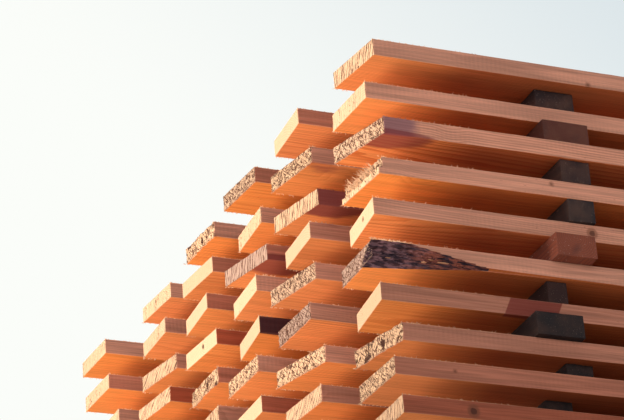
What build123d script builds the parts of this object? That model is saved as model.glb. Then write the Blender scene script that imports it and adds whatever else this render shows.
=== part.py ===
from build123d import *
import os
import random

# Sizes are in millimetres. X runs along the boards, Y across the stack from
# its near side to its far side, and Z up from the ground.

# Boards: rough-sawn, square-edged stock, set out with a gap so that air can pass
board_thickness = 25.0
board_width = 100.0
board_length = 4000.0
board_gap = 93.0
boards_per_course = 6
courses = 36

# Stickers: the dry spacer sticks that lie across the boards between two courses
sticker_thickness = 33.5
sticker_width = 50.0
sticker_overrun = 35.0
sticker_lines = 6
sticker_end_distance = 290.0

# Bearers: the timbers on the ground, one under each line of stickers
bearer_height = 100.0
bearer_width = 100.0
bearer_overrun = 60.0

# Hand stacking: how far pieces lie from their true place, either way
end_scatter = 15.0
cut_scatter = 10.0
side_scatter = 8.0
sticker_side_scatter = 20.0
sticker_end_scatter = 15.0
sticker_width_scatter = 10.0
scatter_seed = 25

# How far each column of boards has drifted sideways, from the near side
column_drift = [0.0, 10.0, 0.0, -20.0, 0.0, 30.0]

# The left ends that can be read, column by column from the near side and course
# by course from the top: (near corner in, far corner in, board sideways)
seen_ends = [
    [(15, 0, -5), (5, 0, 10), (20, -10, -5), (10, 0, 0), (0, 10, 5),
     (-5, -5, 10), (5, 15, 15), (25, 0, 5), (0, -5, -15), (0, 0, -30)],
    [(-10, -5, 5), (5, -15, 5), (15, -10, 15), (-5, 0, 5), (0, -25, 10),
     (-10, -15, 15), (10, -20, 20), (0, -10, 20)],
    [(-5, -15, -10), (5, 10, 0), (10, -15, 0), (-15, -10, -15), (-10, 0, -5),
     (-15, -20, 0), (-10, -10, 5)],
    [(0, -10, -25), (-5, -15, -25), (-15, -10, -20), (-5, -15, -25), (-5, -10, -20),
     (-5, -5, -15)],
    [(10, 0, -5), (0, 0, 0), (15, -5, 0), (0, -15, -5)],
    [(-20, -25, 25), (-15, -20, 30), (0, 0, 30)],
]

# The near ends of the first line of stickers, from the top gap down: (left side
# of the sticker from the boards' ends, its width, how far its end lies back)
seen_stickers = [(265, 60, 20), (260, 70, 0), (280, 45, 0), (285, 40, 0), (255, 60, -10),
                 (250, 30, 20), (215, 70, -5), (265, 40, 20), (225, 40, 15)]

# A waney corner, where the board was sawn from the outside of the log: the lower
# near corner is missing at the left end of one board, given as (column, course)
waney_board = (1, 6)
wane_up_edge = 24.0
wane_under_board = 38.0
wane_along_board = 160.0

board_pitch = board_width + board_gap
course_pitch = board_thickness + sticker_thickness
stack_width = boards_per_course * board_width + (boards_per_course - 1) * board_gap
sticker_length = stack_width + sticker_overrun
bearer_length = stack_width + bearer_overrun
line_pitch = (board_length - 2 * sticker_end_distance) / (sticker_lines - 1)

scatter = random.Random(scatter_seed)


def spread(amount):
    return scatter.uniform(-amount, amount)


def course_bottom(course):
    """Height of the underside of a course, counted down from 1 at the top."""
    return bearer_height + (courses - course) * course_pitch


def left_end(column, course):
    """Near corner, far corner and sideways place of one board."""
    drift = column_drift[(column - 1) % len(column_drift)]
    near = spread(end_scatter)
    far = near + spread(cut_scatter)
    side = drift + spread(side_scatter)
    if column <= len(seen_ends) and course <= len(seen_ends[column - 1]):
        near, far, side = seen_ends[column - 1][course - 1]
    return near, far, side


def cut_wane(board, corner_x, corner_y, bottom):
    """Takes the lower near corner off the left end of a board."""
    end_top = Vector(corner_x, corner_y, bottom + wane_up_edge)
    end_under = Vector(corner_x, corner_y + wane_under_board, bottom)
    run_out = Vector(corner_x + wane_along_board, corner_y, bottom)
    normal = (end_under - end_top).cross(run_out - end_top)
    if normal.Z < 0:
        normal = normal * -1
    plane = Plane(origin=end_top, z_dir=normal)
    return split(board, bisect_by=plane, keep=Keep.TOP).solid()


def make_board(column, course):
    near, far, side = left_end(column, course)
    trim = (near + far) / 2
    left = -board_length / 2
    right = board_length / 2 + trim
    near_y = (column - 1) * board_pitch - stack_width / 2 + side
    bottom = course_bottom(course)
    corners = [
        (left + near, near_y),
        (right + spread(cut_scatter), near_y),
        (right + spread(cut_scatter), near_y + board_width),
        (left + far, near_y + board_width),
    ]
    outline = make_face(Polyline(*corners, close=True))
    board = extrude(outline, amount=board_thickness, dir=(0, 0, 1)).solid()
    board = board.moved(Location((0, 0, bottom)))
    if (column, course) == waney_board:
        board = cut_wane(board, left + near, near_y, bottom)
    return board


def make_sticker(line, gap):
    """One sticker of a line, in the gap under the course of the same number."""
    start = sticker_end_distance - sticker_width / 2 + spread(sticker_side_scatter)
    width = sticker_width + spread(sticker_width_scatter)
    back = spread(sticker_end_scatter)
    if line == 1 and gap <= len(seen_stickers):
        start, width, back = seen_stickers[gap - 1]
    middle_x = -board_length / 2 + (line - 1) * line_pitch + start + width / 2
    middle_y = (sticker_length - stack_width) / 2 + back
    middle_z = course_bottom(gap) - sticker_thickness / 2
    stick = Box(width, sticker_length, sticker_thickness)
    return stick.moved(Location((middle_x, middle_y, middle_z))).solid()


def make_bearer(line):
    middle_x = -board_length / 2 + sticker_end_distance + (line - 1) * line_pitch
    middle_y = (sticker_length - stack_width) / 2
    timber = Box(bearer_width, bearer_length, bearer_height)
    return timber.moved(Location((middle_x, middle_y, bearer_height / 2))).solid()


def build_stack():
    """Every node's name and the solids that it holds."""
    nodes = {}
    for course in range(1, courses + 1):
        nodes[f"course_{course:02d}"] = [
            make_board(column, course) for column in range(1, boards_per_course + 1)
        ]
    for line in range(1, sticker_lines + 1):
        nodes[f"stickers_line_{line}"] = [make_sticker(line, gap) for gap in range(1, courses)]
        nodes[f"bearer_{line}"] = [make_bearer(line)]
    return nodes


nodes = build_stack()

# The origin is the middle of the stack's footprint, on the ground
footprint = Compound([solid for solids in nodes.values() for solid in solids]).bounding_box()
to_origin = Location((-footprint.center().X, -footprint.center().Y, 0))

os.makedirs("parts", exist_ok=True)
for name, solids in nodes.items():
    moved = [solid.moved(to_origin) for solid in solids]
    shape = moved[0] if len(moved) == 1 else Compound(moved)
    export_step(shape, f"parts/{name}.step")

print("stack", round(footprint.size.X, 1), round(footprint.size.Y, 1), round(footprint.size.Z, 1))
print("moved to the origin by", round(-footprint.center().X, 2), round(-footprint.center().Y, 2))
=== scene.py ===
import math
import random
from types import SimpleNamespace

import bmesh
import bpy
from mathutils import Matrix, Vector, noise


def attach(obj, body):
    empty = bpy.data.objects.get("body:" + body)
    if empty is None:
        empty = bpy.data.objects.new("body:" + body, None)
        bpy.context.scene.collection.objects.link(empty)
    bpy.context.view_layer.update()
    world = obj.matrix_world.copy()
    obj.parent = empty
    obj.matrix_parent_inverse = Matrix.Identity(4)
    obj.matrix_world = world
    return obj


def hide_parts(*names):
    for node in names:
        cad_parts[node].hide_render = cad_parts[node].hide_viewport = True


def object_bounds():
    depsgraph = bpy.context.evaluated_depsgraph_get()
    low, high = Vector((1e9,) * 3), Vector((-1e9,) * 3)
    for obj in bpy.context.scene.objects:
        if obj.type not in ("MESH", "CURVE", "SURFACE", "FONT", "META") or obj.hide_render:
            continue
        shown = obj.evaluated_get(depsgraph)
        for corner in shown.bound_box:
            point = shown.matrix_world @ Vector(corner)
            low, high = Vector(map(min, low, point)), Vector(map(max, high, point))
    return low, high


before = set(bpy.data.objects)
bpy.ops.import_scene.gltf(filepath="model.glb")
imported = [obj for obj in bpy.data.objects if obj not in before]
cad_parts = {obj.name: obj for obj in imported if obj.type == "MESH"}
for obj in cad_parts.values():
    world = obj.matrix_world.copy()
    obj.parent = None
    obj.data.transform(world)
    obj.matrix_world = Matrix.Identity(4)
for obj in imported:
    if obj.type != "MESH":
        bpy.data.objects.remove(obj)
cad_low, cad_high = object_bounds()
MM = 0.001

# The camera, low on the near side, looks up at the left ends: its place and its turns
CAMERA_PLACE = (-3.462, -3.564, 0.228)
CAMERA_AZIMUTH = 24.44
CAMERA_ELEVATION = 26.82
CAMERA_ROLL = -4.34
LENS_MM, SENSOR_MM = 168.0, 36.0
NEAREST_VIEW, FARTHEST_VIEW = 0.1, 400.0

# The mesh: the softened arris, the cells across each kind of timber, and how much finer
# the cells of an end are
ARRIS = 1.0 * MM
SEEN_CELL, BARK_CELL, HIDDEN_CELL = 6.4 * MM, 3.2 * MM, 10.24 * MM
STICKER_CELL, BEARER_CELL = 10.0 * MM, 8.0 * MM
SEEN_SPLIT, BARK_SPLIT = 5, 2
SAME_PLACE = 0.01 * MM

# Rings of the mesh along a timber, in millimetres from its start: the skirt of the sawn
# end, and the steps beyond it. The right skirt counts from the far end
FINE_SKIRT, STICK_SKIRT = [1.0, 2.5, 5.0, 9.0, 15.0], [1.5, 6.0, 15.0]
SEEN_STEPS = [25.0 + 14.0 * step for step in range(30)]
BARK_STEPS = [20.0 + 5.0 * step for step in range(80)]
PLAIN_STEPS = [30.0, 60.0, 110.0, 180.0, 280.0, 420.0]
BODY_STEPS = [800.0, 1300.0, 1800.0, 2300.0, 2800.0, 3300.0, 3700.0]
STICKER_STEPS = [60.0, 400.0, 800.0]
BEARER_STEPS = [40.0, 110.0, 300.0, 550.0, 800.0]
RIGHT_SKIRT = [60.0, 20.0, 6.0, 1.0]

# How each left end that can be seen was cut, column by column from the near side and course
# by course from the top: s smooth, k smooth with a knot hole, l smooth with checks, c striped
# with two cracks, f fuzzy, r ridged upright, h hatched at a slant, t torn, b broken back at
# the top. The other ends are cut in one of the plain ways
SEEN_CUTS = ["clfbkfstfr", "sfrsfffhh", "flrssfsss", "tssktrsf", "llhhlfl", "lllhls"]
SEEN_COURSES = [11, 9, 9, 8, 7, 6]
PLAIN_CUTS = "slfrhslf"
RAGGED_CUTS = "ftbh"
CUTS_ACROSS_FLAT_RINGS = "rh"

# For each way of cutting: how much of the end is pitted, how far the fibres lean as they
# rise, and how much of it is striped
CUT_LOOKS = {
    "s": (0.34, 0.3, 0.0), "k": (0.3, 0.2, 0.0), "l": (0.3, 0.1, 0.25), "c": (0.0, 0.3, 1.0),
    "f": (1.08, 0.5, 0.1), "r": (0.1, 0.2, 1.0), "h": (0.2, 0.75, 0.95), "t": (1.0, 0.5, 0.3),
    "b": (0.85, 0.4, 0.1),
}
NO_LOOK = (0.0, 0.0, 0.0, 0.0)

# Marks in the relief of the ends, in millimetres from the near side and the underside. A
# hole has its middle and its half sizes, and a crack its foot and its lean
KNOT_HOLE = (45.0, 15.0, 3.2, 5.0)
TORN_HOLE = (41.0, 12.0, 5.0, 7.0)
BROKEN_HOLE = (13.0, 15.5, 5.5, 4.5)
CRACKS, CRACK_HALF_WIDTH = ((38.0, 0.25), (52.0, 0.3)), 1.2
TORN_FROM, TORN_SPLIT, BROKEN_FROM = 62.0, 63.0, 9.5

# How far the relief of an end, and its ragged rim, reach along the timber
FADE = 12.0 * MM
RAGGED, RAGGED_LENGTH = 4.0 * MM, 7.0 * MM

# The corner that the saw left round on one board: how far up the edge, under the board and
# along it, for the barked part and for the wavy arris beyond it
WANE_ON = (1, 6)
WANE = [(36.0, 36.0, 168.0), (5.0, 9.0, 420.0)]
WANE_HIGHEST = 24.4
ROUNDNESS = 1.3

# Flakes of bark, in millimetres: length, width and thickness
BARK_FLAKES = 80
FLAKE_SIZES = ((4.0, 11.0), (0.9, 2.2), (0.7, 1.6))
SHARE_OF_CHIPS = 0.03

# Broken fibres: on a rough end by its way of cutting, along the arrises of each board, on
# the crest of the bark, and the long ones of the broken end
FIBRES = {"f": 190, "t": 190, "h": 60, "b": 60, "r": 60}
WHISKERS, WHISKER_REACH = 60, 0.16
CREST_WHISKERS, CREST_REACH = 90, 0.05
LONG_WISPS = 150
SHARE_LOW_OR_TOP = 0.45
FIBRE_TIP = 0.15

# Single boards, by column and course: how grey the end is, how red the edge is, and how
# much the growth rings stand out
GREY_ENDS = {(1, 6): 0.9, (2, 6): 0.9, (3, 3): 0.9, (1, 3): 0.3, (2, 5): 0.3, (3, 1): 0.3}
RED_EDGES = {(4, 4): 1.0, (4, 3): 0.6, (3, 3): 0.5, (5, 4): 1.0, (3, 7): 0.8}
RING_STRENGTHS = {(1, 1): 0.2, (1, 2): 0.1, (1, 3): 1.0, (1, 4): 0.35, (1, 5): 0.75,
                  (1, 7): 0.45, (1, 8): 0.12, (1, 9): 0.25}

# How light each board of the near column is, and how red its edge is: darker and redder towards
# the bottom
NEAR_TONES = [(1.02, 0.0), (1.1, 0.0), (1.1, 0.0), (1.1, 0.0), (1.06, 0.0), (1.02, 0.0),
              (0.8, 0.25), (0.83, 0.25), (0.79, 0.45), (0.66, 0.8), (0.64, 0.8)]

# The stickers of the first line that can be seen, by gap: lightness and redness. Their lightness
# is partly painted light and shade: lightest on the sticker of gap 5, whose face catches the
# light, darkest on the low ones in the shade under the boards
SEEN_STICK_TONES = {1: (0.9, 0.05), 2: (1.0, 0.55), 3: (0.8, 0.1), 4: (0.8, 0.0), 5: (1.5, 0.9),
                    6: (0.55, 0.2), 7: (0.5, 0.0), 8: (0.5, 0.0), 9: (0.5, 0.0)}
BEARER_TONES = {1: (1.0, 0.0)}


def colour(red, green, blue):
    """A colour as it shows on a screen, 0 to 255, for a shader."""
    return tuple((c / 255 / 12.92) if c < 11 else ((c / 255 + 0.055) / 1.055) ** 2.4
                 for c in (red, green, blue)) + (1.0,)


# Reading the frame

class Stick:
    """One length of timber in the frame: its corners, and its sides in its own section."""

    def __init__(self, verts, along):
        across = 1 - along
        self.along, self.across = along, across
        points = [v.co for v in verts]
        self.low = min(p.z for p in points)
        self.high = max(p.z for p in points)
        self.near = min(p[across] for p in points)
        self.far = max(p[across] for p in points)
        top = [p for p in points if p.z > self.high - SAME_PLACE]
        near_side = [p[along] for p in top if p[across] < self.near + 0.1 * MM]
        far_side = [p[along] for p in top if p[across] > self.far - 0.1 * MM]
        self.start = (min(near_side), min(far_side))
        self.end = (max(near_side), max(far_side))
        self.width = self.far - self.near
        self.height = self.high - self.low
        self.length = (self.end[0] - self.start[0] + self.end[1] - self.start[1]) / 2

    def point(self, x, y, z):
        """A place on the timber, from its start, its near side and its underside."""
        t = y / self.width
        start = self.start[0] + (self.start[1] - self.start[0]) * t
        end = self.end[0] + (self.end[1] - self.end[0]) * t
        place = Vector((0, 0, self.low + z))
        place[self.along] = start + (end - start) * x / self.length
        place[self.across] = self.near + y
        return place


def timbers_of(node, along=0):
    """The separate timbers of a CAD node, from the near side and the underside."""
    bm = bmesh.new()
    bm.from_mesh(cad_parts[node].data)
    bmesh.ops.remove_doubles(bm, verts=bm.verts, dist=0.001 * MM)
    found, waiting = [], set(bm.verts)
    while waiting:
        island, edge = set(), [waiting.pop()]
        while edge:
            vert = edge.pop()
            island.add(vert)
            for side in vert.link_edges:
                other = side.other_vert(vert)
                if other in waiting:
                    waiting.remove(other)
                    edge.append(other)
        found.append(Stick(island, along))
    bm.free()
    return sorted(found, key=lambda stick: (round(stick.low, 4), stick.near))


# Building a timber's skin

def places_across(size, cell, split=1):
    """Places across one side: an arris at each side, and even cells between."""
    cells = max(1, round((size - 2 * ARRIS) / cell)) * split
    inner = [ARRIS + (size - 2 * ARRIS) * i / cells for i in range(cells + 1)]
    return [0.0] + inner + [size]


def end_grid(bm, x, ys, zs):
    """A flat end, and its outer edges."""
    grid = bmesh.ops.create_grid(bm, x_segments=len(ys) - 1, y_segments=len(zs) - 1, size=0.5)
    for vert in grid["verts"]:
        i = round((vert.co.x + 0.5) * (len(ys) - 1))
        j = round((vert.co.y + 0.5) * (len(zs) - 1))
        vert.co = (x, ys[i], zs[j])
    rim = {e for v in grid["verts"] for e in v.link_edges if len(e.link_faces) == 1}
    return grid["verts"], list(rim)


def run_on(bm, rim, x):
    """Draws the rim of an open skin out to a place along the timber."""
    drawn = bmesh.ops.extrude_edge_only(bm, edges=rim)["geom"]
    verts = [g for g in drawn if isinstance(g, bmesh.types.BMVert)]
    new = set(verts)
    for vert in verts:
        vert.co.x = x
    rim = [g for g in drawn if isinstance(g, bmesh.types.BMEdge)
           and g.verts[0] in new and g.verts[1] in new]
    return verts, rim


def coarsen(bm, verts, ys, zs):
    """Welds a finely divided ring to the places of a coarse one."""
    def nearest(value, places):
        return min(places, key=lambda place: abs(place - value))

    places = {vert: (nearest(vert.co.y, ys), nearest(vert.co.z, zs)) for vert in verts}
    keep = {}
    for vert, place in places.items():
        gap = abs(vert.co.y - place[0]) + abs(vert.co.z - place[1])
        if place not in keep or gap < keep[place][0]:
            keep[place] = (gap, vert)
    target = {vert: keep[place][1] for vert, place in places.items()
              if keep[place][1] is not vert}
    bmesh.ops.weld_verts(bm, targetmap=target)
    kept = [v for v in verts if v.is_valid]
    ring = set(kept)
    rim = list({e for v in kept for e in v.link_edges
                if e.verts[0] in ring and e.verts[1] in ring and len(e.link_faces) == 1})
    return kept, rim


def make_skin(bm, stick, cell, split, steps, skirt=FINE_SKIRT):
    """A closed skin in the timber's own flat places, finely divided at its start."""
    ys = places_across(stick.width, cell)
    zs = places_across(stick.height, cell)
    fine_ys = places_across(stick.width, cell, split)
    fine_zs = places_across(stick.height, cell, split)
    verts, rim = end_grid(bm, 0.0, fine_ys, fine_zs)
    skin = list(verts)
    places = [step * MM for step in skirt + steps]
    places += [stick.length - step * MM for step in RIGHT_SKIRT]
    for number, place in enumerate(places, start=1):
        verts, rim = run_on(bm, rim, place)
        if split > 1 and number == len(skirt):
            verts, rim = coarsen(bm, verts, ys, zs)
        skin += verts
    last, rim = run_on(bm, rim, stick.length)
    cap, cap_rim = end_grid(bm, stick.length, ys, zs)
    seam = list({v for e in rim + cap_rim for v in e.verts})
    skin += last + cap
    bmesh.ops.remove_doubles(bm, verts=seam, dist=SAME_PLACE)
    return [v for v in set(skin) if v.is_valid]


# Relief of the ends. Each way of cutting gives, at a point in millimetres, how far the end
# lies back, in millimetres, and how dark it is, 0 to 1: painted shade, darkest in the holes,
# checks and cracks and where the end lies farthest back

def wave(x, y, z=0.0):
    return noise.noise(Vector((x, y, z)))


def speck_at(y, z, seed):
    return wave(y * 0.42, z * 0.42, seed)


def fuzz_at(y, z, seed):
    return wave(y * 0.95, z * 0.95, seed + 7)


def off_hole(y, z, hole):
    """How far a point is from the middle of a hole, whose rim is at 1."""
    middle_y, middle_z, half_width, half_height = hole
    return math.hypot((y - middle_y) / half_width, (z - middle_z) / half_height)


def smooth_end(y, z, seed):
    speck = speck_at(y, z, seed)
    return 0.25 + 0.2 * speck, max(0.0, speck - 0.45) * 1.2


def knot_hole_end(y, z, seed):
    back, dark = smooth_end(y, z, seed)
    hole = off_hole(y, z, KNOT_HOLE)
    return back + 4.0 * max(0.0, 1.0 - hole), max(dark, 1.0 - hole ** 2 * 0.8)


def checked_end(y, z, seed):
    lines = wave(y * 0.33 + z * 0.05, z * 0.02, seed + 3)
    check = max(0.0, 1.0 - abs(lines - 0.32) / 0.1)
    return 0.3 + 0.15 * speck_at(y, z, seed) + 1.6 * check, 0.7 * check


def cracked_end(y, z, seed):
    stripes = abs(math.sin(y * 0.8 + z * 0.12 + 2.0 * wave(y * 0.05, z * 0.05, seed)))
    nearest = min(abs(y - foot - z * lean) for foot, lean in CRACKS)
    crack = max(0.0, 1.0 - nearest / CRACK_HALF_WIDTH)
    back = 0.3 + 0.15 * speck_at(y, z, seed) + 0.3 * (1 - stripes) + 1.2 * crack
    return back, 0.4 * crack


def ridged_end(y, z, seed, slant=0.08):
    ridge = wave((y + slant * z) * 0.42, z * 0.05, seed)
    fuzz = fuzz_at(y, z, seed)
    dark = max(0.0, ridge - 0.3) * 1.2 + max(0.0, fuzz - 0.35) * 0.6
    return 1.0 + 1.1 * ridge + 0.45 * fuzz, dark


def hatched_end(y, z, seed):
    return ridged_end(y, z, seed, slant=0.55)


def torn_end(y, z, seed):
    fuzz = fuzz_at(y, z, seed)
    chunk = wave(y * 0.11 + z * 0.05, z * 0.09, seed + 11)
    strand = wave((y + 0.4 * z) * 0.5, z * 0.12, seed)
    set_back = min(1.0, max(0.0, (y - TORN_FROM - 3.0 * strand) / 3.0))
    hole = off_hole(y, z, TORN_HOLE) + 0.5 * fuzz
    split = max(0.0, 1.0 - abs(y - TORN_SPLIT - 2.0 * strand) / 2.2)
    back = (1.6 + 1.8 * chunk + 1.2 * strand + 0.5 * fuzz + 2.0 * set_back
            + 2.0 * max(0.0, 1.0 - hole))
    torn = max(0.0, chunk - 0.1) + max(0.0, strand - 0.15) * (0.8 + set_back)
    return back, max(torn, 1.3 - hole, 0.8 * split)


def broken_end(y, z, seed):
    top = 1.0 if z > BROKEN_FROM + 2.5 * wave(y * 0.15, 3.0, seed) else 0.0
    strand = wave(y * 0.5, z * 0.3, seed)
    hole = off_hole(y, z, BROKEN_HOLE)
    back = 0.4 + top * (5.5 + 2.4 * strand) + 0.4 * fuzz_at(y, z, seed)
    dark = top * (0.3 + 0.7 * max(0.0, strand))
    return back + 2.5 * max(0.0, 1.0 - hole), max(dark, 1.3 - hole)


def fuzzy_end(y, z, seed):
    strand = wave((y + 0.3 * z) * 0.45, z * 0.25, seed)
    fuzz = fuzz_at(y, z, seed)
    dark = max(0.0, strand - 0.05) * 0.8 + max(0.0, fuzz - 0.15) * 1.1
    return 1.1 + 0.9 * strand + 0.8 * fuzz, dark


END_SHAPES = {"s": smooth_end, "k": knot_hole_end, "l": checked_end, "c": cracked_end,
              "r": ridged_end, "h": hatched_end, "t": torn_end, "b": broken_end, "f": fuzzy_end}


def end_relief(cut, y, z, seed):
    """How far a point of a sawn end lies back, in millimetres, and how dark its painted shade is.
    """
    back, dark = END_SHAPES[cut](y / MM, z / MM, seed)
    return max(0.0, back), min(1.0, max(0.0, dark))


def wane_line(cut, x):
    """How far up the edge and under the board a round corner reaches, at a place along it."""
    up, under, along = cut
    left = max(0.0, 1.0 - x / (along * MM))
    return min(up * left, WANE_HIGHEST) * MM, under * left ** 0.8 * MM


def wane_of(cuts, x, y, z):
    """Where a point lies after the round corner is taken off, and how deep it was in it."""
    inside = 0.0
    for cut in cuts:
        up, under = wane_line(cut, x)
        if up < 0.3 * MM:
            continue
        reach = ((max(0.0, y) / under) ** ROUNDNESS
                 + (max(0.0, z) / up) ** ROUNDNESS) ** (1 / ROUNDNESS)
        if reach < 1.0:
            inside = max(inside, 1.0 - reach)
            if reach < 0.05:
                y, z = under * 0.57, up * 0.57
            else:
                y, z = y / reach, z / reach
    return y, z, inside


def add_bark(bm, stick, layers, cut, pith, tone, rng):
    """Flakes of bark on the round corner, drawn out along the board."""
    for _ in range(BARK_FLAKES):
        size = Vector([rng.uniform(*span) for span in FLAKE_SIZES]) * MM
        x = size.x + rng.uniform(0.0, 0.9) ** 1.6 * cut[2] * MM
        up, under = wane_line(cut, x)
        part = rng.uniform(0.05, 1.0)
        y = under * (1 - part) ** (1 / ROUNDNESS)
        z = up * part ** (1 / ROUNDNESS)
        place = Matrix.Translation(stick.point(x, y, z))
        turn = Matrix.Rotation(math.atan2(up, under) + rng.uniform(-0.4, 0.4), 4, "X")
        twist = Matrix.Rotation(rng.uniform(-0.5, 0.5), 4, "Z")
        flake = bmesh.ops.create_icosphere(
            bm, subdivisions=1, radius=1.0,
            matrix=place @ turn @ twist @ Matrix.Diagonal((*size, 1.0)))
        chip = 0.8 if rng.random() < SHARE_OF_CHIPS else 0.0
        for vert in flake["verts"]:
            vert.co += noise.noise_vector(vert.co * 300) * 0.9 * MM
            layers.paint(vert, pith, tone, (0.0, 0.0, chip, 1.0), NO_LOOK)


class Layers:
    """The values that a board's material reads, kept with its vertices."""

    def __init__(self, bm):
        new = bm.verts.layers.float_color.new
        self.layers = [new(name) for name in ("pith", "tone", "marks", "looks")]

    def paint(self, vert, *values):
        for layer, value in zip(self.layers, values):
            vert[layer] = value


def end_shift(x, y, z, length, cut, right_cut, seed):
    """How far a point near a sawn end moves along the timber, and how dark its painted shade is.
    """
    at_left = max(0.0, 1.0 - x / FADE)
    at_right = max(0.0, 1.0 - (length - x) / FADE)
    if at_left > 0:
        back, dark = end_relief(cut, y, z, seed)
        return back * MM * at_left, dark
    if at_right > 0:
        back, dark = end_relief(right_cut, y, z, seed + 40)
        return -back * MM * at_right, dark
    return 0.0, 0.0


def inward(place, size, depth):
    """A place on one side of a timber, moved towards its middle."""
    return place + depth if place < size / 2 else place - depth


def shape_timber(skin, stick, layers, cut, right_cut, pith, tone, wane=(), edge_red=0.0):
    """Gives a flat skin its sawn ends, arrises and waviness, and sets it in its place."""
    length, width, height = stick.length, stick.width, stick.height
    seed = tone[2]
    for vert in skin:
        x, y, z = vert.co
        shift, dark = end_shift(x, y, z, length, cut, right_cut, seed)
        on_end = x < SAME_PLACE or x > length - SAME_PLACE
        on_edge = min(y, width - y) < SAME_PLACE
        on_face = min(z, height - z) < SAME_PLACE
        corner = on_edge and on_face
        new_y, new_z = y, z

        # The arrises are worn, and ragged round a rough end
        soft = (0.35 + 0.35 * wave(x * 90, y * 20, seed)) * MM
        if cut in RAGGED_CUTS and x < RAGGED_LENGTH:
            soft += RAGGED * abs(wave(y * 230, z * 230, seed)) * (1.0 - x / RAGGED_LENGTH)
        if corner or on_end and on_edge:
            new_y = inward(new_y, width, soft)
        if corner or on_end and on_face:
            new_z = inward(new_z, height, soft)

        # The saw wandered a little, so the sides aren't quite flat
        if on_edge:
            new_y = inward(new_y, width, (0.35 + 0.35 * wave(x * 9, z * 15, seed + 5)) * MM)
        if on_face:
            new_z = inward(new_z, height, (0.15 + 0.15 * wave(x * 7, y * 20, seed + 9)) * MM)

        inside, barked = 0.0, 0.0
        if wane:
            new_y, new_z, inside = wane_of(wane, x, new_y, new_z)
            barked = min(1.0, 8 * wane_of(wane[:1], x, y, z)[2])
            if barked > 0.5:
                lump = 1.6 * abs(wave(x * 60, new_y * 160, new_z * 160)) * MM
                new_y, new_z = new_y + lump, new_z + lump
        # The arris mark paints a highlight: full on the near top and far lower arrises, which
        # catch the light, weaker on the other two, and none in the round corner
        arris = 0.0
        if corner:
            lit = (y < width / 2) == (z > height / 2)
            arris = max(0.0, 1.0 - 6 * inside) * (1.0 if lit else 0.35)
        vert.co = stick.point(x + shift, new_y, new_z)
        look = (*CUT_LOOKS[cut if x < length / 2 else right_cut], edge_red)
        # The marks: the end, the painted shade of its hollows, the arris highlight, and the bark
        layers.paint(vert, pith, tone, (1.0 if on_end else 0.0, dark, arris, barked), look)


class Sprigs:
    """Thin broken fibres, made in a small mesh of their own and then joined to a skin."""

    def __init__(self, stick, pith, tone, end_mark):
        self.bm = bmesh.new()
        self.layers = Layers(self.bm)
        self.stick, self.pith, self.tone, self.end_mark = stick, pith, tone, end_mark

    def add(self, x, y, z, lean, long, thick):
        """A fibre that stands out of a place, with a little of its root inside."""
        lean = Vector(lean).normalized()
        place = Matrix.Translation(self.stick.point(x, y, z) + lean * (long / 2 - 0.3 * MM))
        turn = lean.to_track_quat("Z", "Y").to_matrix().to_4x4()
        cone = bmesh.ops.create_cone(self.bm, cap_ends=True, segments=3, radius1=thick,
                                     radius2=thick * FIBRE_TIP, depth=long, matrix=place @ turn)
        # The fibres carry the full arris mark, so off the ends they get the painted arris
        # highlight
        for vert in cone["verts"]:
            self.layers.paint(vert, self.pith, self.tone, (self.end_mark, 0.0, 1.0, 0.0), NO_LOOK)

    def join(self, bm):
        mesh = bpy.data.meshes.new("sprigs")
        self.bm.to_mesh(mesh)
        self.bm.free()
        bm.from_mesh(mesh)
        bpy.data.meshes.remove(mesh)


def add_fibres(bm, stick, cut, pith, tone, rng):
    """Torn fibres that stand out of a rough end, many of them along its lower arris."""
    sprigs = Sprigs(stick, pith, tone, 1.0)
    for _ in range(FIBRES[cut]):
        low = rng.random() < SHARE_LOW_OR_TOP
        y = rng.uniform(0.5, stick.width / MM - 0.5) * MM
        z = (rng.uniform(0.2, 2.5) if low else rng.uniform(1.0, stick.height / MM - 1.0)) * MM
        back, dark = end_relief(cut, y, z, tone[2])
        if dark > 0.5:
            continue
        long = rng.uniform(1.2, 3.6) * MM * (1.0 if low else 0.75)
        aside = rng.uniform(-0.5, 0.5)
        lean = (-1.0, aside, rng.uniform(-1.3, 0.0) if low else rng.uniform(-0.6, 0.6))
        sprigs.add(back * MM, y, z, lean, long, rng.uniform(0.25, 0.55) * MM)
    if cut == "b":
        for _ in range(LONG_WISPS):
            y, z = rng.uniform(22.0, 86.0) * MM, rng.uniform(11.0, 22.0) * MM
            lean = (-1.0, rng.uniform(-0.4, 0.6), rng.uniform(0.1, 1.4))
            long = rng.uniform(6.0, 12.0) * MM
            sprigs.add(4.5 * MM, y, z, lean, long, rng.uniform(0.25, 0.5) * MM)
    sprigs.join(bm)


def add_whiskers(bm, stick, pith, tone, rng, count, reach, share_on_top):
    """Short broken fibres along the two arrises that the light catches near the left end."""
    sprigs = Sprigs(stick, pith, tone, 0.0)
    inset = 0.3 * MM
    for _ in range(count):
        x = rng.uniform(0.0, 1.0) ** 1.6 * reach
        if rng.random() < share_on_top:
            y, z = inset, stick.height - inset
            lean = (rng.uniform(-1.0, 0.4), rng.uniform(-0.5, 0.1), 0.3)
        else:
            y, z = stick.width - inset, inset
            lean = (rng.uniform(-1.0, 0.4), rng.uniform(0.0, 0.5), rng.uniform(-0.5, 0.1))
        sprigs.add(x, y, z, lean, rng.uniform(1.2, 4.0) * MM, 0.5 * MM)
    sprigs.join(bm)


def finish_piece(name, bm, material, slot, *nodes):
    """Makes the piece from its bmesh, kept inside the CAD model's box."""
    for vert in bm.verts:
        for axis in range(3):
            vert.co[axis] = min(max(vert.co[axis], cad_low[axis]), cad_high[axis])
    bmesh.ops.recalc_face_normals(bm, faces=bm.faces)
    mesh = bpy.data.meshes.new(name)
    bm.to_mesh(mesh)
    bm.free()
    mesh.materials.append(material)
    piece = bpy.data.objects.new(name, mesh)
    bpy.context.scene.collection.objects.link(piece)
    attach(piece, "root")
    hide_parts(*nodes)
    return piece


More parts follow.
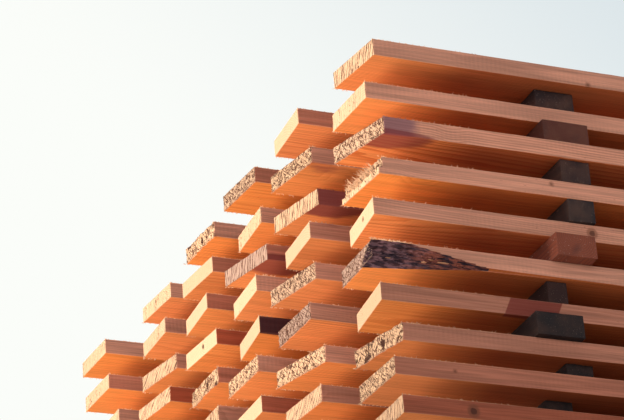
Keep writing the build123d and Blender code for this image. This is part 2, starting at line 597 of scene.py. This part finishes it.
def board_looks(column, course, seen, stick, rng):
    """How a board was cut at both ends, where its pith lies, its tone and its edge's redness."""
    cut, right_cut = rng.choice(PLAIN_CUTS), rng.choice(PLAIN_CUTS)
    if column <= len(SEEN_CUTS) and course <= len(SEEN_CUTS[column - 1]):
        cut = SEEN_CUTS[column - 1][course - 1]
    side = rng.choice((-1, 1))
    grey_end = GREY_ENDS.get((column, course), 0.0)
    y, z = rng.uniform(-0.02, 0.12), side * rng.uniform(0.03, 0.11)
    if cut in CUTS_ACROSS_FLAT_RINGS:
        y, z = -rng.uniform(0.1, 0.2), rng.uniform(-0.02, 0.04)
    pith = (0.0, stick.near + y, stick.low + z, grey_end)
    seed = rng.uniform(0, 50)
    ring_strength = RING_STRENGTHS.get((column, course), rng.uniform(0.15, 0.6))
    lightness, warmth = rng.uniform(0.9, 1.08), rng.uniform(0.0, 1.0)
    some_red = 0.0 if column == 1 else rng.choice((0.0, 0.0, 0.2, 0.5))
    edge_red = RED_EDGES.get((column, course), some_red)
    if column == 1 and seen:
        lightness, edge_red = NEAR_TONES[course - 1]
    return cut, right_cut, pith, (lightness, warmth, seed, ring_strength), edge_red


def build_course(course, material):
    """The boards of one course, as one piece."""
    node = f"course_{course:02d}"
    rng = random.Random(100 + course)
    bm = bmesh.new()
    layers = Layers(bm)
    for column, stick in enumerate(timbers_of(node), start=1):
        seen = course <= SEEN_COURSES[column - 1]
        barked = (column, course) == WANE_ON
        cut, right_cut, pith, tone, edge_red = board_looks(column, course, seen, stick, rng)
        cell, split, steps, wane = HIDDEN_CELL, 1, PLAIN_STEPS, ()
        if seen:
            cell, split = SEEN_CELL, SEEN_SPLIT
        if seen and column == 1:
            steps = SEEN_STEPS
        if barked:
            cell, split, steps, wane = BARK_CELL, BARK_SPLIT, BARK_STEPS, WANE
        skin = make_skin(bm, stick, cell, split, steps + BODY_STEPS)
        shape_timber(skin, stick, layers, cut, right_cut, pith, tone, wane, edge_red)
        if seen:
            add_whiskers(bm, stick, pith, tone, rng, WHISKERS, WHISKER_REACH, SHARE_LOW_OR_TOP)
        if seen and cut in FIBRES:
            add_fibres(bm, stick, cut, pith, tone, rng)
        if barked:
            add_bark(bm, stick, layers, wane[0], pith, tone, rng)
            add_whiskers(bm, stick, pith, tone, rng, CREST_WHISKERS, CREST_REACH, 1.0)
    return finish_piece(f"boards_course_{course:02d}", bm, material, "sawn_board", node)


# Node trees

# The node tree that is being filled: each group, material or world sets it when it starts
filled = SimpleNamespace(tree=None)


def link(value, socket):
    filled.tree.links.new(value, socket)


def add(kind, inputs=None, **settings):
    """A shader node with its settings, and its inputs set to values or joined to sockets."""
    made = filled.tree.nodes.new("ShaderNode" + kind)
    for key, value in settings.items():
        setattr(made, key, value)
    for key, value in (inputs or {}).items():
        if isinstance(value, bpy.types.NodeSocket):
            link(value, made.inputs[key])
        else:
            made.inputs[key].default_value = value
    return made


def calc(operation, *values):
    return add("Math", dict(enumerate(values)), operation=operation).outputs[0]


def times(first, *others):
    """Values multiplied with each other."""
    for value in others:
        first = calc("MULTIPLY", first, value)
    return first


def weigh(value, weight, base):
    """A value times its weight, added to a base."""
    return calc("MULTIPLY_ADD", value, weight, base)


def vector_calc(operation, *values):
    return add("VectorMath", dict(enumerate(values)), operation=operation).outputs[0]


def length_of(vector):
    return add("VectorMath", {0: vector}, operation="LENGTH").outputs["Value"]


def parts_of(vector):
    return add("SeparateXYZ", {0: vector}).outputs


def combine(x, y=0.0, z=0.0):
    return add("CombineXYZ", {0: x, 1: y, 2: z}).outputs[0]


def stretch(vector, scale, offset=None):
    """A vector with each part multiplied, and then moved."""
    scaled = vector_calc("MULTIPLY", vector, scale)
    return scaled if offset is None else vector_calc("ADD", scaled, offset)


def pattern(place, size, detail=2.0, rough=0.5, seed=None):
    """An even noise, 0 to 1, with so many features to a metre each way."""
    return add("TexNoise", {"Vector": stretch(place, size, seed), "Scale": 1.0,
                            "Detail": detail, "Roughness": rough}).outputs["Fac"]


def fit(value, low, high, to_low=0.0, to_high=1.0):
    return add("MapRange", {"Value": value, "From Min": low, "From Max": high,
                            "To Min": to_low, "To Max": to_high},
               interpolation_type="SMOOTHSTEP").outputs[0]


def tint(factor, a, b, mode="MIX"):
    """One colour over another."""
    return add("Mix", {0: factor, 6: a, 7: b}, data_type="RGBA", blend_type=mode).outputs[2]


def coats(base, *coats_over):
    """Colours laid over a base one after another: mask, strength and colour."""
    for mask, strength, over in coats_over:
        base = tint(times(mask, strength), base, over)
    return base


def place_group(group, inputs):
    return add("Group", inputs, node_tree=group).outputs


def open_group(name, vectors, values):
    """A shader node group with named inputs."""
    group = filled.tree = bpy.data.node_groups.new(name, "ShaderNodeTree")
    for labels, kind in ((vectors, "NodeSocketVector"), (values, "NodeSocketFloat")):
        for label in labels:
            group.interface.new_socket(label, in_out="INPUT", socket_type=kind)
    return group.nodes.new("NodeGroupInput").outputs


def close_group(results):
    """Gives the group its named outputs."""
    group = filled.tree
    for label in results:
        group.interface.new_socket(label, in_out="OUTPUT", socket_type="NodeSocketFloat")
    ends = group.nodes.new("NodeGroupOutput").inputs
    for label, result in results.items():
        link(result, ends[label])
    return group


# Patterns of the wood: how many features to a metre along it, across it and upright
KNOT_CELLS, KNOT_DRAWN_OUT = (2.6, 9.0, 9.0), 0.3
PITH_DRIFT, RING_WOBBLE = (0.9, 0.0, 0.0), (5.0, 40.0, 40.0)
FIBRE_GRAIN, FUZZ_GRAIN = (14.0, 900.0, 900.0), (260.0, 800.0, 800.0)
SAW_WOBBLE, SAW_PATCHES = (30.0, 12.0, 12.0), (7.0, 25.0, 25.0)
PIT_GRAIN, PORE_GRAIN = (1.0, 440.0, 135.0), (500.0, 650.0, 650.0)
STRIPE_BENDS, STRIPE_BREAKS = (1.7, 90.0, 26.0), (2.3, 260.0, 40.0)
OLD_BLOTCHES, OLD_SCRATCHES = (6.0, 30.0, 30.0), (90.0, 520.0, 520.0)
SPOT_RIM, PATCH_RIM = (200.0, 200.0, 260.0), (40.0, 120.0, 120.0)
FACE_BANDS, FACE_BLOTCHES = (6.0, 170.0, 170.0), (3.0, 18.0, 18.0)
DARK_FLECKS, ARRIS_BREAKS = (150.0, 420.0, 420.0), (50.0, 30.0, 30.0)
BARK_LUMPS, BARK_GRAIN = (70.0, 210.0, 210.0), (22.0, 260.0, 260.0)

# Spacing of what repeats, in metres
BOARD_RINGS, STICK_RINGS = 3.4 * MM, 3.0 * MM
BLADE_MARKS, END_STRIPES = 6.5 * MM, 4.4 * MM


def wood_grain_group():
    """Growth rings about a pith that wanders along the timber, fibres, and knots."""
    given = open_group("wood grain", ["Place", "Pith"], ["Seed", "Ring spacing"])
    place = given["Place"]
    seed = combine(given["Seed"], given["Seed"])

    # A knot is a spindle about a point, wide along the board and drawn out upright
    cells = stretch(place, KNOT_CELLS, seed)
    point = add("TexVoronoi", {"Vector": cells, "Scale": 1.0}).outputs["Position"]
    gap = vector_calc("SUBTRACT", cells, point)
    to_metres = (1 / KNOT_CELLS[0], 1 / KNOT_CELLS[1], KNOT_DRAWN_OUT / KNOT_CELLS[2])
    far = length_of(stretch(gap, to_metres))
    knots = fit(far, 9.0 * MM, 6.0 * MM)
    bend = fit(far, 35.0 * MM, 6.0 * MM, 0.0, 6.0 * MM)

    # The rings bend round the knots
    away = parts_of(vector_calc("SUBTRACT", place, given["Pith"]))
    slow = stretch(place, PITH_DRIFT, seed)
    drift = add("TexNoise", {"Vector": slow, "Scale": 1.0, "Detail": 1.0}).outputs["Color"]
    drift = parts_of(drift)
    y = weigh(drift[0], 0.06, away[1])
    z = weigh(drift[1], 0.06, away[2])
    radius = calc("SQRT", calc("ADD", times(y, y), times(z, z)))
    radius = weigh(pattern(place, RING_WOBBLE, 3.0, seed=seed), 6.0 * MM, radius)
    radius = calc("ADD", radius, bend)
    turn = calc("FRACT", calc("DIVIDE", radius, given["Ring spacing"]))
    rings = times(fit(turn, 0.25, 0.9), fit(turn, 1.0, 0.93))
    fibres = pattern(place, FIBRE_GRAIN, 3.0, 0.6, seed)
    return close_group({"Rings": rings, "Fibres": fibres, "Knots": knots})


def saw_marks_group():
    """The blade's marks across a sawn face, and the fuzz that it leaves."""
    given = open_group("saw marks", ["Place"], ["Seed"])
    place = given["Place"]
    part = parts_of(place)
    run = weigh(part[1], 0.25, part[0])
    run = weigh(pattern(place, SAW_WOBBLE), 6.0 * MM, run)
    marks = calc("SINE", times(run, 2 * math.pi / BLADE_MARKS))
    strength = pattern(place, SAW_PATCHES, seed=combine(given["Seed"]))
    return close_group({"Marks": times(marks, fit(strength, 0.4, 0.65)),
                        "Fuzz": pattern(place, FUZZ_GRAIN, 3.0, 0.65)})


def end_grain_group():
    """The torn fibres of a sawn end: short pits that lean, and long upright stripes."""
    given = open_group("end grain", ["Place"], ["Seed", "Pitted", "Lean", "Striped"])
    part = parts_of(given["Place"])
    limit = weigh(given["Pitted"], -0.232, 0.78)
    pits = []
    for way in (1.0, -1.6):
        side = weigh(part[2], times(given["Lean"], way), part[1])
        leant = combine(calc("ADD", given["Seed"], way), side, part[2])
        pits.append(fit(pattern(leant, PIT_GRAIN, 2.0, 0.6), limit, calc("ADD", limit, 0.07)))
    side = weigh(part[2], given["Lean"], part[1])
    leant = combine(given["Seed"], side, part[2])
    phase = weigh(pattern(leant, STRIPE_BENDS), 2.4, calc("DIVIDE", side, END_STRIPES))
    line = calc("ABSOLUTE", calc("SUBTRACT", calc("FRACT", phase), 0.5))
    breaks = pattern(leant, STRIPE_BREAKS, 2.0, 0.6)
    reach = times(given["Striped"], fit(breaks, 0.34, 0.58, 0.0, 0.22))
    stripes = fit(calc("SUBTRACT", reach, line), -0.06, 0.04)
    return close_group({"Pits": calc("MAXIMUM", *pits), "Stripes": stripes,
                        "Pores": pattern(given["Place"], PORE_GRAIN, 2.0, 0.7)})


def weathering_group():
    """Old wood: dark blotches, and pale scratches along the grain."""
    given = open_group("weathering", ["Place"], ["Seed"])
    seed = combine(given["Seed"], given["Seed"])
    blotches = pattern(given["Place"], OLD_BLOTCHES, 4.0, 0.6, seed)
    scratches = pattern(given["Place"], OLD_SCRATCHES, 3.0, 0.6, seed)
    return close_group({"Blotches": fit(blotches, 0.35, 0.7),
                        "Scratches": fit(scratches, 0.64, 0.7)})


def spot_group():
    """A round mark about a place, and a ring of darker grain at its rim."""
    given = open_group("spot", ["Place", "Middle"], ["Radius"])
    far = length_of(vector_calc("SUBTRACT", given["Place"], given["Middle"]))
    far = weigh(pattern(given["Place"], SPOT_RIM), 3.0 * MM, far)
    share = calc("DIVIDE", calc("SUBTRACT", far, 1.5 * MM), given["Radius"])
    return close_group({"Core": fit(share, 0.75, 0.45), "Rim": fit(share, 1.5, 0.85)})


def patch_group():
    """An oval patch with a soft and uneven rim."""
    given = open_group("patch", ["Place", "Middle", "Size"], [])
    gap = vector_calc("SUBTRACT", given["Place"], given["Middle"])
    far = length_of(vector_calc("DIVIDE", gap, given["Size"]))
    far = weigh(pattern(given["Place"], PATCH_RIM), 0.3, far)
    return close_group({"Mask": fit(far, 1.25, 0.95)})


GRAIN = wood_grain_group()
SAW_MARKS = saw_marks_group()
END_GRAIN = end_grain_group()
WEATHERING = weathering_group()
SPOT = spot_group()
PATCH = patch_group()

# Colours of the timber
EDGE_LIGHT, EDGE_DARK = colour(208, 148, 122), colour(182, 122, 96)
# Painted warm light: only the undersides get the orange on the next line, which stands in for
# light from below
LIT_UNDERSIDE_LIGHT, LIT_UNDERSIDE_DARK = colour(242, 146, 66), colour(216, 112, 42)
DULL_LIGHT, DULL_DARK = colour(230, 140, 82), colour(204, 108, 56)
# Painted shade: the deep red on the next line darkens the undersides away from the ends
UNDERSIDE_SHADE_RED, EDGE_RED = colour(150, 56, 32), colour(176, 84, 54)
# Painted shade: the pit colour on the next line and the deep colour two lines below darken the
# ends' pits and hollows
END_LIGHT, END_RING, END_PIT_SHADE = colour(228, 188, 150), colour(202, 154, 116), colour(112, 72, 52)
END_LINE = colour(92, 56, 40)
END_FLECK, END_GREY, END_HOLLOW_SHADE = colour(244, 214, 170), colour(162, 134, 124), colour(72, 40, 27)
# Painted highlight: the pale colour of the arrises where the light catches them
ARRIS_HIGHLIGHT = colour(255, 216, 176)
KNOT_DARK, KNOT_RIM = colour(70, 36, 28), colour(128, 76, 54)
STAIN_RED, PATCH_WINE = colour(124, 40, 34), colour(122, 48, 50)
PATCH_PURPLE, PATCH_BLACK = colour(122, 84, 96), colour(60, 26, 34)
# The second bark colour on the next line is a painted highlight for the raised lumps
BARK_DARK, BARK_HIGHLIGHT, BARK_CHIP = colour(40, 28, 38), colour(112, 84, 92), colour(208, 150, 110)
BARK_STREAK = colour(150, 84, 66)
STICK_RED = colour(122, 62, 42)
OLD_DARK, OLD_LIGHT, OLD_SCRATCH = colour(44, 36, 38), colour(84, 62, 54), colour(156, 132, 118)
TIMBER_DARK, TIMBER_LIGHT = colour(112, 92, 74), colour(164, 138, 110)

# Knots on the near edges: middle, radius and strength
KNOTS = [
    ((-1.903, -0.575, 1.632), 7.5 * MM, 0.75), ((-1.681, -0.540, 1.926), 7.0 * MM, 0.7),
    ((-1.665, -0.550, 2.150), 4.0 * MM, 0.45), ((-1.737, -0.545, 1.990), 3.5 * MM, 0.5),
    ((-1.916, -0.560, 1.692), 3.0 * MM, 0.4),
]

# The patch on one near edge that resin has reddened, with slanting ends
RESIN_PATCH = (-1.776, -0.530, 1.810)
RESIN_HALF_LENGTH, RESIN_HALF_HEIGHT, RESIN_DEPTH = 39.0 * MM, 15.0 * MM, 6.0 * MM
RESIN_SLANT = -0.45

# Dark patches near the left ends: middle, size either way, strength and colour
DARK_PATCHES = [
    ((-2.000, -0.550, 2.043), (0.070, 0.006, 0.050), 0.75, PATCH_PURPLE),
    ((-1.972, -0.550, 2.030), (0.068, 0.042, 0.008), 0.75, PATCH_WINE),
    ((-1.970, -0.337, 2.043), (0.070, 0.037, 0.050), 0.85, PATCH_WINE),
    ((-1.965, -0.150, 2.030), (0.055, 0.040, 0.012), 0.80, PATCH_WINE),
    ((-1.930, -0.164, 1.922), (0.160, 0.008, 0.020), 0.95, PATCH_BLACK),
]

# Where the colours change along X: away from the sawn ends the undersides turn to painted deep
# red shade and the painted arris highlight fades; knots keep clear of the left ends, and the bark
# turns from lumps to streaks
SHADED_MIDDLE_TO, LIT_ENDS_FROM = 1.76, 1.99
NO_KNOTS_TO, KNOTS_FROM = -1.63, -1.58
LUMPS_TO, STREAKS_FROM = -1.965, -1.9


def start_material(name):
    material = bpy.data.materials.new(name)
    material.use_nodes = True
    filled.tree = material.node_tree
    shader = filled.tree.nodes["Principled BSDF"]
    shader.inputs["Specular IOR Level"].default_value = 0.25
    return material, shader, add("TexCoord").outputs["Object"]


def attribute(name):
    """An attribute as a whole, its three parts, and its alpha."""
    found = add("Attribute", attribute_name=name, attribute_type="GEOMETRY").outputs
    parts = add("SeparateColor", {0: found["Color"]}).outputs
    return found["Color"], parts[0], parts[1], parts[2], found["Alpha"]


def shaded(shown, value):
    """A colour made lighter or darker by a value."""
    grey = add("CombineColor", {0: value, 1: value, 2: value}).outputs[0]
    return tint(1.0, shown, grey, "MULTIPLY")


def read_board(place):
    """What a board's vertices and the shared groups say about a place on it."""
    read = SimpleNamespace()
    _, read.lightness, read.warmth, seed, read.ring_strength = attribute("tone")
    _, read.end, read.pit, read.arris, read.barked = attribute("marks")
    _, read.pitted, lean, striped, read.edge_red = attribute("looks")
    pith, _, _, _, read.grey_end = attribute("pith")
    grain = place_group(GRAIN, {"Place": place, "Pith": pith, "Seed": seed,
                                "Ring spacing": BOARD_RINGS})
    read.rings, read.fibres, read.knots = grain["Rings"], grain["Fibres"], grain["Knots"]
    saw = place_group(SAW_MARKS, {"Place": place, "Seed": seed})
    read.blade, read.fuzz = saw["Marks"], saw["Fuzz"]
    torn = place_group(END_GRAIN, {"Place": place, "Seed": seed, "Pitted": read.pitted,
                                   "Lean": lean, "Striped": striped})
    read.pits, read.stripes, read.pores = torn["Pits"], torn["Stripes"], torn["Pores"]
    return read


def plain_face_colour(place, read, near_end):
    """The wood between its marks: edges are paler and duller than undersides."""
    upright = parts_of(add("NewGeometry").outputs["True Normal"])[2]
    wide = fit(calc("ABSOLUTE", upright), 0.5, 0.9)
    under = fit(upright, -0.5, -0.9)
    rings = times(read.rings, read.ring_strength)
    edge = tint(rings, EDGE_LIGHT, EDGE_DARK)
    edge = tint(read.edge_red, edge, EDGE_RED)
    dull = tint(rings, DULL_LIGHT, DULL_DARK)
    # Painted warm light: only the undersides get the orange, which stands in for light from below
    underside = tint(read.warmth, tint(rings, LIT_UNDERSIDE_LIGHT, LIT_UNDERSIDE_DARK), dull)
    # Painted shade: away from the ends the undersides turn deep red, where little light reaches
    underside = tint(fit(near_end, 0.8, 0.2, 0.0, 0.6), underside, UNDERSIDE_SHADE_RED)
    top = tint(times(read.warmth, 0.35), edge, dull)
    face = tint(wide, edge, tint(under, top, underside))

    streak = fit(read.fibres, 0.3, 0.75, 1.1, 0.82)
    band = fit(pattern(place, FACE_BANDS, 3.0), 0.32, 0.68, 1.13, 0.82)
    on_edges = fit(wide, 0.0, 1.0, 1.0, 0.35)
    band = weigh(calc("SUBTRACT", band, 1.0), on_edges, 1.0)
    blotch = fit(pattern(place, FACE_BLOTCHES, 3.0), 0.35, 0.7, 1.04, 0.9)
    shade = times(streak, band, blotch)
    face = shaded(face, weigh(read.blade, 0.03, shade))
    fleck = fit(pattern(place, DARK_FLECKS, 3.0, 0.6), 0.66, 0.74, 0.0, 0.45)
    return tint(fleck, face, KNOT_RIM)


def resin_mask(place):
    """Where resin has reddened one edge."""
    away = parts_of(vector_calc("SUBTRACT", place, RESIN_PATCH))
    along = calc("ABSOLUTE", weigh(away[2], RESIN_SLANT, away[0]))
    height, depth = calc("ABSOLUTE", away[2]), calc("ABSOLUTE", away[1])
    return times(fit(along, RESIN_HALF_LENGTH, RESIN_HALF_LENGTH - 2 * MM),
                 fit(height, RESIN_HALF_HEIGHT + 1.5 * MM, RESIN_HALF_HEIGHT),
                 fit(depth, 2 * RESIN_DEPTH, RESIN_DEPTH))


def face_colour(place, read, along):
    """The sawn faces with their knots, resin, a painted highlight along the arrises, and dark
    patches.
    """
    near_end = fit(calc("ABSOLUTE", along), SHADED_MIDDLE_TO, LIT_ENDS_FROM)
    knots = times(read.knots, fit(along, NO_KNOTS_TO, KNOTS_FROM))
    marks = [(knots, 0.8, KNOT_DARK)]
    for middle, radius, strength in KNOTS:
        spot = place_group(SPOT, {"Place": place, "Middle": middle, "Radius": radius})
        marks += [(spot["Rim"], strength * 0.9, KNOT_RIM), (spot["Core"], strength, KNOT_DARK)]
    # Painted highlight: a pale ragged line along the arrises, strongest near the ends
    ragged = fit(pattern(place, ARRIS_BREAKS, 3.0, 0.65), 0.36, 0.56, 0.45, 1.0)
    bright = times(fit(read.arris, 0.0, 0.7), ragged, weigh(near_end, 0.8, 0.2))
    marks += [(resin_mask(place), 0.8, STAIN_RED), (bright, 1.0, ARRIS_HIGHLIGHT)]
    for middle, size, strength, patch_colour in DARK_PATCHES:
        patch = place_group(PATCH, {"Place": place, "Middle": middle, "Size": size})
        marks.append((patch["Mask"], strength, patch_colour))
    return coats(plain_face_colour(place, read, near_end), *marks)


def end_colour(read):
    """The sawn ends: rings, bright flecks, grey weathering, stripes, and painted shade in the
    pits and hollows.
    """
    flecks = times(fit(read.pores, 0.46, 0.34), read.pitted)
    deepest = times(read.pits, fit(read.pores, 0.4, 0.6))
    return coats(END_LIGHT, (read.rings, 0.4, END_RING),
                 (fit(read.pores, 0.56, 0.75), 0.35, END_RING),
                 (flecks, 0.8, END_FLECK), (read.grey_end, 0.8, END_GREY),
                 (read.stripes, 0.9, END_LINE), (read.pits, 1.0, END_PIT_SHADE),
                 (deepest, 1.0, END_HOLLOW_SHADE), (fit(read.pit, 0.2, 0.7), 1.0, END_HOLLOW_SHADE))


def bark_colour(place, read, along, lump):
    """The bark on the round corner: lumps at the end with a painted highlight on their tops, and
    reddish streaks beyond.
    """
    # Painted highlight: the raised tops of the lumps are lighter than the hollows between them
    bark = tint(fit(lump, 0.44, 0.64), BARK_DARK, BARK_HIGHLIGHT)
    streaks = fit(pattern(place, BARK_GRAIN, 3.0, 0.6), 0.4, 0.6)
    streaked = tint(streaks, BARK_DARK, BARK_STREAK)
    bark = tint(fit(along, LUMPS_TO, STREAKS_FROM, 0.1, 0.85), bark, streaked)
    return tint(read.arris, bark, BARK_CHIP)


def set_relief(shader, strength, distance, height):
    bump = add("Bump", {"Strength": strength, "Distance": distance, "Height": height})
    link(bump.outputs[0], shader.inputs["Normal"])


def sawn_board_material():
    material, shader, place = start_material("sawn board")
    read = read_board(place)
    along = parts_of(place)[0]
    lump = pattern(place, BARK_LUMPS, 4.0, 0.65)
    whole = tint(read.end, face_colour(place, read, along), end_colour(read))
    whole = tint(fit(read.barked, 0.2, 0.6), whole, bark_colour(place, read, along, lump))
    link(shaded(whole, read.lightness), shader.inputs["Base Color"])
    link(fit(read.fibres, 0.2, 0.8, 0.72, 0.92), shader.inputs["Roughness"])
    sunk = calc("MAXIMUM", read.pits, times(read.stripes, 0.6))
    height = times(read.fibres, 0.35)
    for layer, strength in ((read.blade, 0.2), (read.fuzz, 0.3),
                            (times(read.pores, read.end), 0.9),
                            (times(sunk, read.end), -1.6), (times(lump, read.barked), 3.0)):
        height = weigh(layer, strength, height)
    set_relief(shader, 0.7, 0.5 * MM, height)
    return material


def old_wood_material(name, dark, light, scratch):
    """Weathered timber that lies across the stack, so its grain is turned."""
    material, shader, place = start_material(name)
    part = parts_of(place)
    place = combine(part[1], part[0], part[2])
    _, lightness, redness, seed, _ = attribute("tone")
    _, _, pit, arris, _ = attribute("marks")
    grain = place_group(GRAIN, {"Place": place, "Pith": attribute("pith")[0],
                                "Seed": seed, "Ring spacing": STICK_RINGS})
    saw = place_group(SAW_MARKS, {"Place": place, "Seed": seed})
    old = place_group(WEATHERING, {"Place": place, "Seed": seed})
    # The pale tint on the arrises is wear and, strongest on the two arrises that catch the light,
    # a painted highlight; the dark in the ends' hollows is painted shade
    face = coats(dark, (old["Blotches"], 1.0, light), (redness, 0.9, STICK_RED),
                 (grain["Rings"], 0.3, dark), (old["Scratches"], 0.7, scratch),
                 (arris, 0.25, scratch), (pit, 0.8, dark))
    link(shaded(face, lightness), shader.inputs["Base Color"])
    link(fit(grain["Fibres"], 0.2, 0.8, 0.75, 0.95), shader.inputs["Roughness"])
    height = weigh(grain["Fibres"], 0.6, times(saw["Fuzz"], 0.5))
    height = weigh(old["Scratches"], -0.5, height)
    set_relief(shader, 0.8, 0.6 * MM, height)
    return material


# Stickers and bearers

def build_sticks(name, node, material, slot, cell, steps, tones, rng):
    """The timbers of one node that lie across the stack, as one piece."""
    bm = bmesh.new()
    layers = Layers(bm)
    for gap, stick in enumerate(timbers_of(node, along=1)[::-1], start=1):
        middle = (stick.near + stick.far) / 2
        pith = (0.0, middle + rng.uniform(-0.05, 0.05), stick.low + rng.uniform(-0.06, 0.09), 0.0)
        seed = rng.uniform(0, 50)
        by_chance = (rng.uniform(0.75, 1.5), rng.choice((0.0, 0.1, 0.3, 0.7)))
        tone = (*tones.get(gap, by_chance), seed, 0.3)
        skin = make_skin(bm, stick, cell, 1, steps, skirt=STICK_SKIRT)
        shape_timber(skin, stick, layers, rng.choice("sfl"), rng.choice("sfl"), pith, tone)
    return finish_piece(name, bm, material, slot, node)


# The studio

# Suns: name, the way towards it, strength, colour, and how wide it looks in degrees
SUNS = [
    ("key", (-0.93, 0.3, 0.13), 0.5, (1.0, 0.93, 0.88), 10),
    ("fill", (-0.3, -0.95, 0.15), 1.05, (1.0, 0.93, 0.95), 40),
    ("left_fill", (-0.72, -0.7, -0.05), 0.9, (1.0, 0.93, 0.95), 30),
    ("back_fill", (0.7, 0.5, 0.6), 1.3, (1.0, 0.97, 0.94), 40),
    ("top_fill", (0.1, 0.1, 1.0), 0.8, (1.0, 0.99, 0.97), 60),
]

# Softboxes low on the left: name, the way they face from, watts, colour, place and size
SOFTBOXES = [
    ("low_softbox", (-1.0, 0.1, -0.3), 33.5, (1.0, 0.9, 0.8), (-5.2, 0.3, 0.5), (2.6, 1.6)),
    ("floor_softbox", (-1.0, 0.1, -0.8), 14.0, (1.0, 0.9, 0.78), (-4.3, 0.2, 0.12), (1.8, 1.0)),
]
SOFTBOX_SPREAD = 70

# The sky behind the stack, its blue side and where that starts, and the glow of the studio
SKY_PALE, SKY_BLUE = colour(251, 253, 249), colour(200, 215, 224)
BLUE_SIDE, BLUE_FROM, BLUE_TO = (0.66, -0.2, 0.72), 0.37, 0.62
GLOW_COLOUR, GLOW_STRENGTH = (0.96, 0.96, 1.0, 1.0), 0.15
FLOOR_HALF_SIZE, FLOOR_COLOUR, FLOOR_ROUGHNESS = 200.0, colour(226, 224, 220), 0.85


def place_camera():
    data = bpy.data.cameras.new("camera")
    data.lens, data.sensor_width = LENS_MM, SENSOR_MM
    data.clip_start, data.clip_end = NEAREST_VIEW, FARTHEST_VIEW
    camera = bpy.data.objects.new("camera", data)
    turn = Matrix.Rotation(math.radians(-CAMERA_AZIMUTH), 4, "Z")
    tilt = Matrix.Rotation(math.radians(90 + CAMERA_ELEVATION), 4, "X")
    roll = Matrix.Rotation(math.radians(CAMERA_ROLL), 4, "Z")
    camera.matrix_world = Matrix.Translation(CAMERA_PLACE) @ turn @ tilt @ roll
    bpy.context.scene.collection.objects.link(camera)
    bpy.context.scene.camera = camera


def add_lamp(name, kind, towards, strength, tone):
    data = bpy.data.lights.new(name, kind)
    data.energy = strength
    data.color = tone
    lamp = bpy.data.objects.new(name, data)
    lamp.rotation_mode = "QUATERNION"
    lamp.rotation_quaternion = Vector(towards).to_track_quat("Z", "Y")
    lamp.visible_camera = False
    bpy.context.scene.collection.objects.link(lamp)
    return lamp


def light_studio():
    for name, towards, strength, tone, angle in SUNS:
        add_lamp(name, "SUN", towards, strength, tone).data.angle = math.radians(angle)
    for name, towards, strength, tone, place, size in SOFTBOXES:
        box = add_lamp(name, "AREA", towards, strength, tone)
        box.location = place
        box.data.shape = "RECTANGLE"
        box.data.size, box.data.size_y = size
        box.data.spread = math.radians(SOFTBOX_SPREAD)


def make_world():
    """A bright sky for the camera and for mirrored or clear surfaces, and a low even glow."""
    world = bpy.data.worlds.new("studio")
    bpy.context.scene.world = world
    world.use_nodes = True
    filled.tree = world.node_tree
    filled.tree.nodes.clear()
    path = add("LightPath").outputs
    way = add("TexCoord").outputs["Generated"]
    side = add("VectorMath", {0: way, 1: BLUE_SIDE}, operation="DOT_PRODUCT")
    blue = fit(side.outputs["Value"], BLUE_FROM, BLUE_TO)
    sky = tint(blue, SKY_PALE, SKY_BLUE)
    seen = add("Background", {"Color": sky, "Strength": 1.0}).outputs[0]
    glow = add("Background", {"Color": GLOW_COLOUR, "Strength": GLOW_STRENGTH}).outputs[0]
    mirrored = calc("MAXIMUM", path["Is Glossy Ray"], path["Is Transmission Ray"])
    shown = calc("MAXIMUM", path["Is Camera Ray"], mirrored)
    both = add("MixShader", {0: shown, 1: glow, 2: seen}).outputs[0]
    add("OutputWorld", {"Surface": both})


def make_floor():
    bm = bmesh.new()
    bmesh.ops.create_grid(bm, x_segments=1, y_segments=1, size=FLOOR_HALF_SIZE)
    mesh = bpy.data.meshes.new("floor")
    bm.to_mesh(mesh)
    bm.free()
    material, shader, _ = start_material("pale floor")
    shader.inputs["Base Color"].default_value = FLOOR_COLOUR
    shader.inputs["Roughness"].default_value = FLOOR_ROUGHNESS
    mesh.materials.append(material)
    floor = bpy.data.objects.new("floor", mesh)
    bpy.context.scene.collection.objects.link(floor)


place_camera()
light_studio()
make_world()
make_floor()

SAWN_BOARD = sawn_board_material()
STICK_WOOD = old_wood_material("weathered sticker", OLD_DARK, OLD_LIGHT, OLD_SCRATCH)
TIMBER_WOOD = old_wood_material("bearer timber", TIMBER_DARK, TIMBER_LIGHT, OLD_SCRATCH)
node_names = sorted(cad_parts)
for course in range(1, 1 + sum(name.startswith("course") for name in node_names)):
    build_course(course, SAWN_BOARD)
stick_random = random.Random(7)
for name in node_names:
    line = name.split("_")[-1]
    if name.startswith("stickers"):
        tones = SEEN_STICK_TONES if line == "1" else {}
        build_sticks(f"sticks_line_{line}", name, STICK_WOOD, "weathered_sticker",
                     STICKER_CELL, STICKER_STEPS, tones, stick_random)
    elif name.startswith("bearer"):
        build_sticks(f"timber_{line}", name, TIMBER_WOOD, "bearer_timber",
                     BEARER_CELL, BEARER_STEPS, BEARER_TONES, stick_random)

bpy.context.scene.view_settings.view_transform = "Standard"
